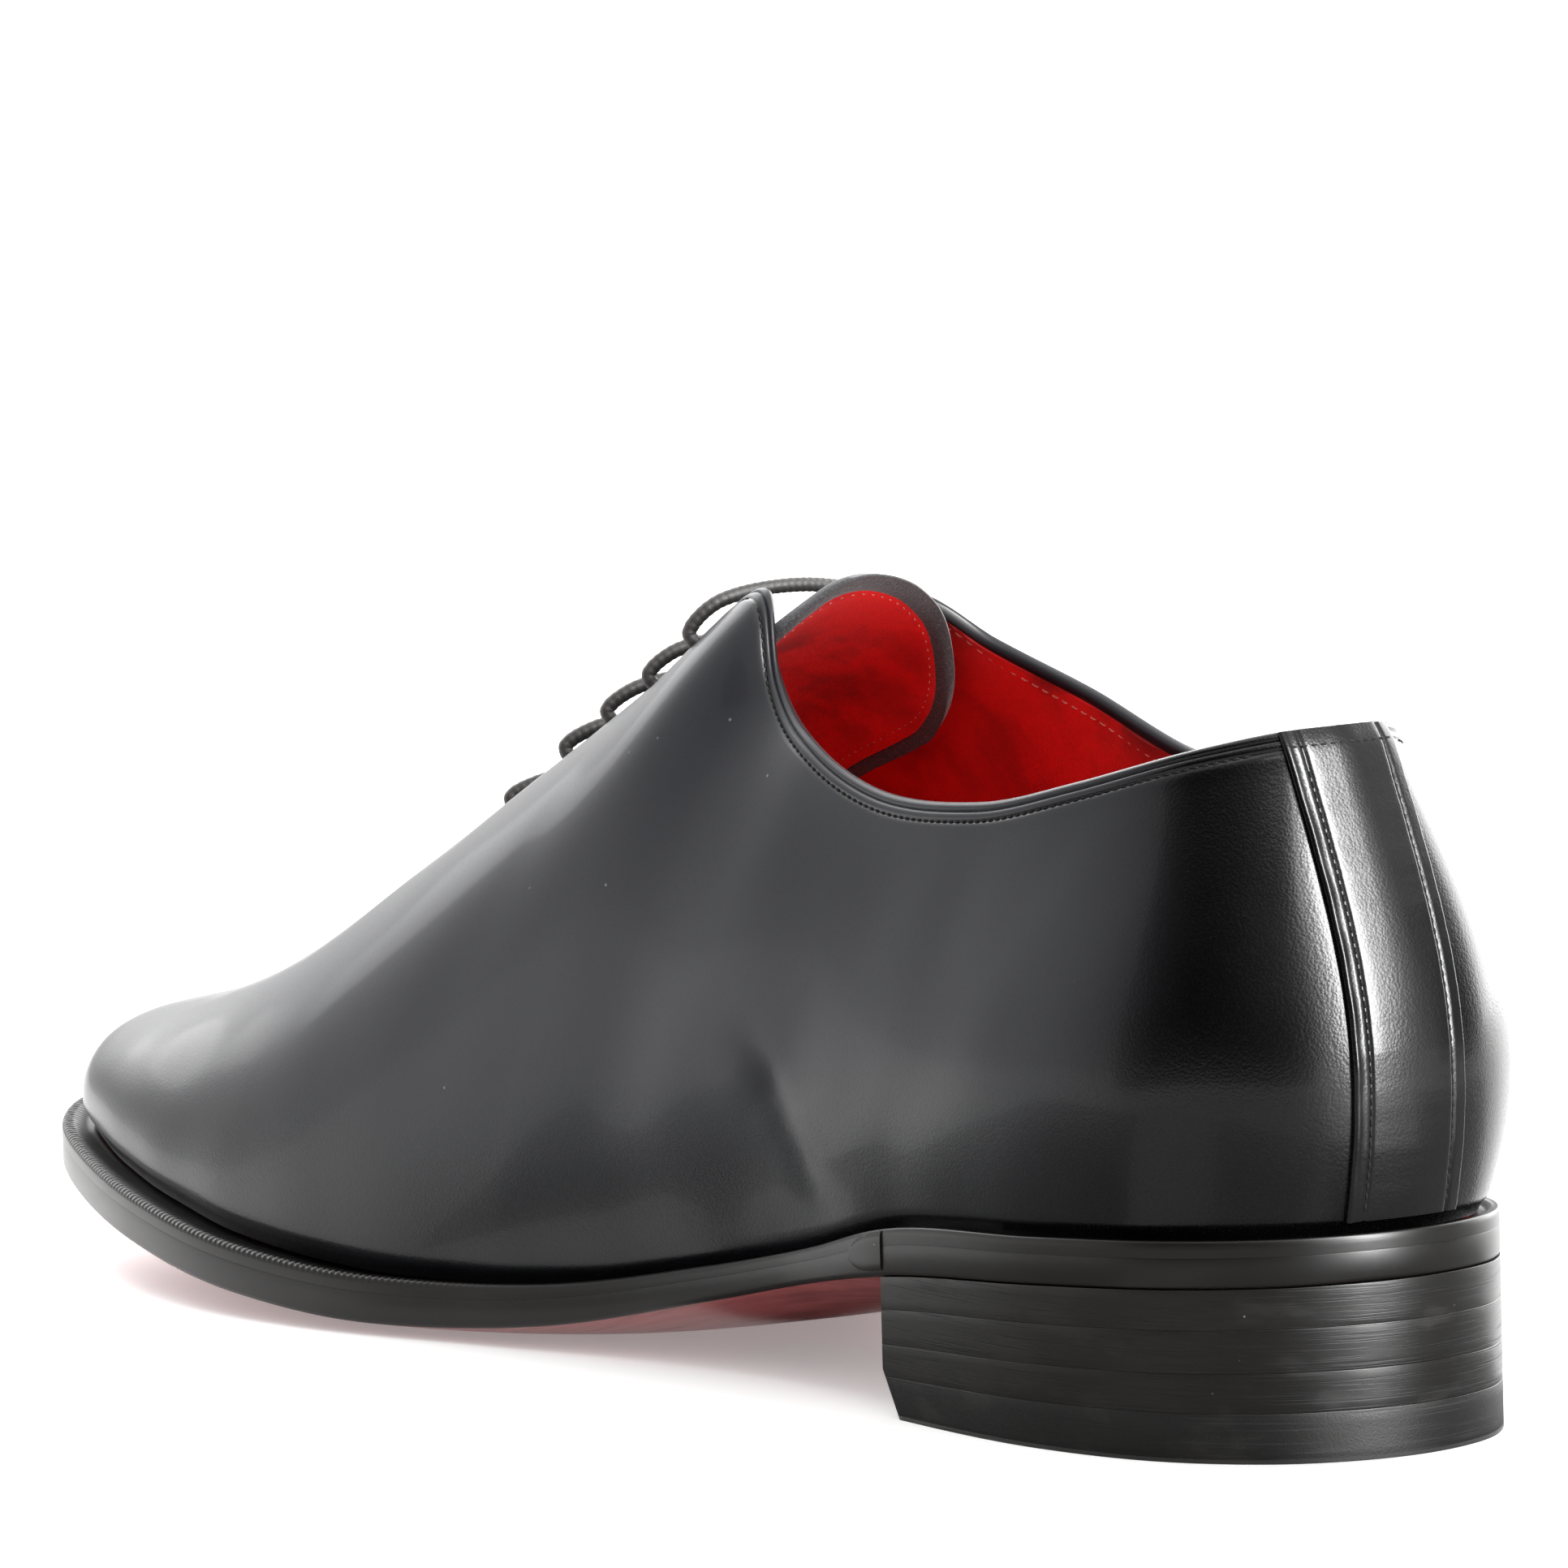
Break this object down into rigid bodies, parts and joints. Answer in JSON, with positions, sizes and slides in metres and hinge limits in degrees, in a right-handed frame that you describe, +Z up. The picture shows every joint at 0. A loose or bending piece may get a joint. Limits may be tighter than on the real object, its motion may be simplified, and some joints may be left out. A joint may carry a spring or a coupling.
{
  "type": "oxford dress shoe",
  "caption": "Whole cut lace-up oxford, right foot, in dark calf with a plain back strip, red lining, red leather sole and a stacked heel with a cut inner corner.",
  "frame": {"origin": "centre of the bounding box's base, on the floor that the heel and the ball of the sole stand on", "axes": "+X to the toe, +Y to the inner side of this right shoe, +Z up"},
  "size_m": [0.308, 0.098, 0.1091],
  "materials": {
    "upper_calf": "satin",
    "tongue_leather": "matte",
    "sole_leather": "satin",
    "edge_leather": "satin",
    "insole_leather": "matte",
    "top_piece_rubber": "matte",
    "lace_cord": "waxed"
  },
  "bodies": {
    "root": {"upper": "upper_calf", "back_strip": "upper_calf", "tongue": "tongue_leather", "insole": "insole_leather", "welt": "edge_leather", "heel_rand": "edge_leather", "outsole": "sole_leather", "heel_lift_1": "edge_leather", "heel_lift_2": "edge_leather", "heel_lift_3": "edge_leather", "top_piece": "top_piece_rubber", "lace_bar_1": "lace_cord", "lace_bar_2": "lace_cord", "lace_bar_3": "lace_cord", "lace_bar_4": "lace_cord", "lace_bar_5": "lace_cord"}
  },
  "joints": []
}
